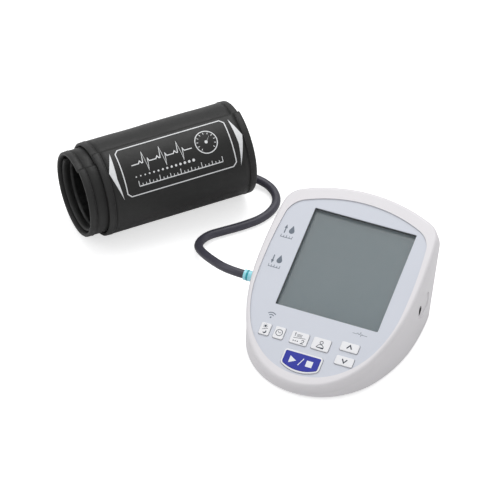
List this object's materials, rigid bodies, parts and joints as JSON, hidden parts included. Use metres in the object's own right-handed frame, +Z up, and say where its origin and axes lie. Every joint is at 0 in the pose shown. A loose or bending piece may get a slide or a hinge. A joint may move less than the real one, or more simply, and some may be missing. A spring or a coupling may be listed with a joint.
{
  "type": "upper arm blood pressure monitor",
  "caption": "Tabletop blood pressure monitor with a sloping display face and keys, an air hose on a pull-off plug and a rolled upper arm cuff.",
  "frame": {"origin": "centre of the overall footprint of the monitor and the rolled cuff, on the table; the plug and hose are not counted", "axes": "+X to the monitor's right as its user sees it, +Y away from the user, +Z up; the table is z = 0"},
  "size_m": [0.3256, 0.2414, 0.0796],
  "materials": {
    "case_white": "satin white moulding",
    "plate_grey": "fine pale blue grey printed plate",
    "key_white": "satin white",
    "key_blue": "deep blue, satin",
    "window_clear": "clear, polished",
    "lcd_grey": "dark grey green liquid crystal",
    "dark_plastic": "black moulding",
    "reflector": "satin foil",
    "board_green": "solder mask",
    "chip_black": "moulded packages",
    "shield_can": "tinned sheet",
    "rubber_grey": "soft silicone",
    "rubber_dark": "matt rubber",
    "hose_rubber": "smooth dark rubber",
    "steel": "plated steel",
    "spring_steel": "nickel plated",
    "brass_part": "turned brass",
    "cell_wrap": "printed cell wrap",
    "cuff_fabric": "brushed black loop fabric",
    "binding_tape": "woven binding tape",
    "lining_fabric": "smooth nylon lining",
    "bladder_film": "thin rubber film",
    "hook_tape": "hook tape"
  },
  "bodies": {
    "monitor": {"aa_cells": "cell_wrap", "air_manifold": "dark_plastic", "air_socket": "dark_plastic", "battery_contacts": "spring_steel", "board_chips": "chip_black", "board_screws": "steel", "bottom_case": "case_white", "buzzer": "dark_plastic", "case_screws": "steel", "dc_jack": "dark_plastic", "display_window": "window_clear", "exhaust_valve": "steel", "face_panel": "plate_grey", "keypad_mat": "rubber_grey", "lcd_frame": "dark_plastic", "lcd_glass": "lcd_grey", "lcd_reflector": "reflector", "main_board": "board_green", "pressure_sensor": "dark_plastic", "pump_cradle": "rubber_grey", "pump_head": "dark_plastic", "pump_motor": "steel", "pump_tube": "rubber_grey", "radio_module": "shield_can", "rubber_feet": "rubber_dark", "sensor_tube": "rubber_grey", "top_case": "case_white", "zebra_strip": "rubber_grey"},
    "light_key_body": {"light_key": "key_white"},
    "clock_key_body": {"clock_key": "key_white"},
    "memory_key_body": {"memory_key": "key_white"},
    "id_key_body": {"id_key": "key_white"},
    "up_key_body": {"up_key": "key_white"},
    "down_key_body": {"down_key": "key_white"},
    "start_key_body": {"start_key": "key_white", "start_key_insert": "key_blue"},
    "door_body": {"battery_door": "case_white"},
    "cuff_set": {"air_plug": "hose_rubber", "plug_o_ring": "rubber_dark", "air_hose": "hose_rubber", "cuff_port": "dark_plastic", "cuff_outer_turn": "cuff_fabric", "cuff_inner_turn": "cuff_fabric", "cuff_core_cover": "cuff_fabric", "cuff_bladder": "bladder_film", "cuff_core_lining": "lining_fabric", "cuff_left_binding": "binding_tape", "cuff_right_binding": "binding_tape", "hook_patch": "hook_tape"}
  },
  "joints": [
    {"name": "light_key_press", "type": "slide", "parent": "monitor", "child": "light_key_body", "axis": [0, 0.3584, -0.9336], "range_m": [0, 0.0008], "stiffness_N_per_m": 600},
    {"name": "clock_key_press", "type": "slide", "parent": "monitor", "child": "clock_key_body", "axis": [0, 0.3584, -0.9336], "range_m": [0, 0.0008], "stiffness_N_per_m": 600},
    {"name": "memory_key_press", "type": "slide", "parent": "monitor", "child": "memory_key_body", "axis": [0, 0.3584, -0.9336], "range_m": [0, 0.0008], "stiffness_N_per_m": 600},
    {"name": "id_key_press", "type": "slide", "parent": "monitor", "child": "id_key_body", "axis": [0, 0.3584, -0.9336], "range_m": [0, 0.0008], "stiffness_N_per_m": 600},
    {"name": "up_key_press", "type": "slide", "parent": "monitor", "child": "up_key_body", "axis": [0, 0.3584, -0.9336], "range_m": [0, 0.0008], "stiffness_N_per_m": 600},
    {"name": "down_key_press", "type": "slide", "parent": "monitor", "child": "down_key_body", "axis": [0, 0.3584, -0.9336], "range_m": [0, 0.0008], "stiffness_N_per_m": 600},
    {"name": "start_key_press", "type": "slide", "parent": "monitor", "child": "start_key_body", "axis": [0, 0.3584, -0.9336], "range_m": [0, 0.0008], "stiffness_N_per_m": 600},
    {"name": "battery_door_slide", "type": "slide", "parent": "monitor", "child": "door_body", "axis": [0, 1, 0], "range_m": [0, 0.05]},
    {"name": "plug_pull", "type": "slide", "parent": "monitor", "child": "cuff_set", "axis": [-1, 0, 0], "range_m": [0, 0.015]}
  ]
}
